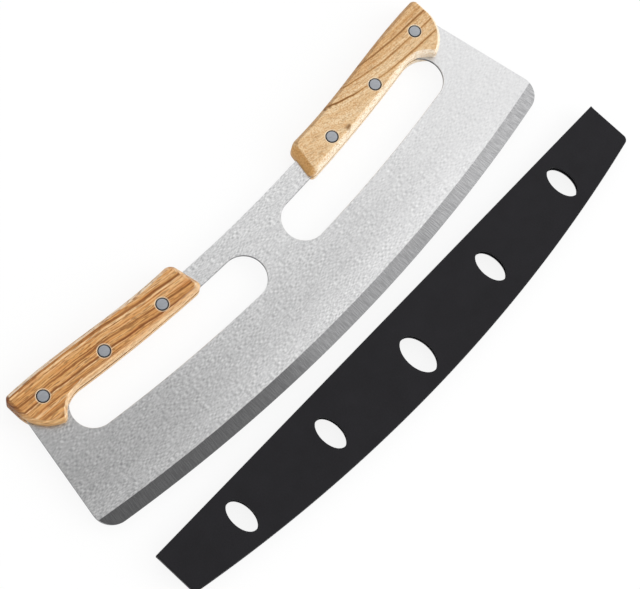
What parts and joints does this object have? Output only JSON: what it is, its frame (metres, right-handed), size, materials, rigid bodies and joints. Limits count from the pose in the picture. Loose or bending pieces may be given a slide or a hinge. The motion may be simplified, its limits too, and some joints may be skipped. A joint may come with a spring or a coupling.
{
  "type": "rocking pizza knife",
  "caption": "Curved two-handed rocking blade with wooden grips over finger slots, and a slip-on edge cover with oval holes.",
  "frame": {"origin": "middle of the whole object's footprint, on the surface that the backs of the grips lie on", "axes": "+X along the blade's length, +Y from the cutting edge to the spine, +Z out of the front face, square to the surface that the knife lies on"},
  "size_m": [0.3694, 0.1634, 0.016],
  "materials": {
    "steel": "satin, fine grain along the blade; cross-ground bevel",
    "wood": "sanded and oiled, open straight grain",
    "rivet": "satin",
    "cover": "fine matt moulded texture"
  },
  "bodies": {
    "knife": {"blade": "steel", "left_grip": "wood", "right_grip": "wood", "left_inner_rivet_pin": "rivet", "left_middle_rivet_pin": "rivet", "left_outer_rivet_pin": "rivet", "right_inner_rivet_pin": "rivet", "right_middle_rivet_pin": "rivet", "right_outer_rivet_pin": "rivet", "left_inner_rivet_socket": "rivet", "left_middle_rivet_socket": "rivet", "left_outer_rivet_socket": "rivet", "right_inner_rivet_socket": "rivet", "right_middle_rivet_socket": "rivet", "right_outer_rivet_socket": "rivet"},
    "cover": {"edge_cover": "cover"}
  },
  "joints": [
    {"name": "cover_slide", "type": "slide", "parent": "knife", "child": "cover", "axis": [-0.2297, 0.9733, 0], "range_m": [0, 0.05466]}
  ]
}
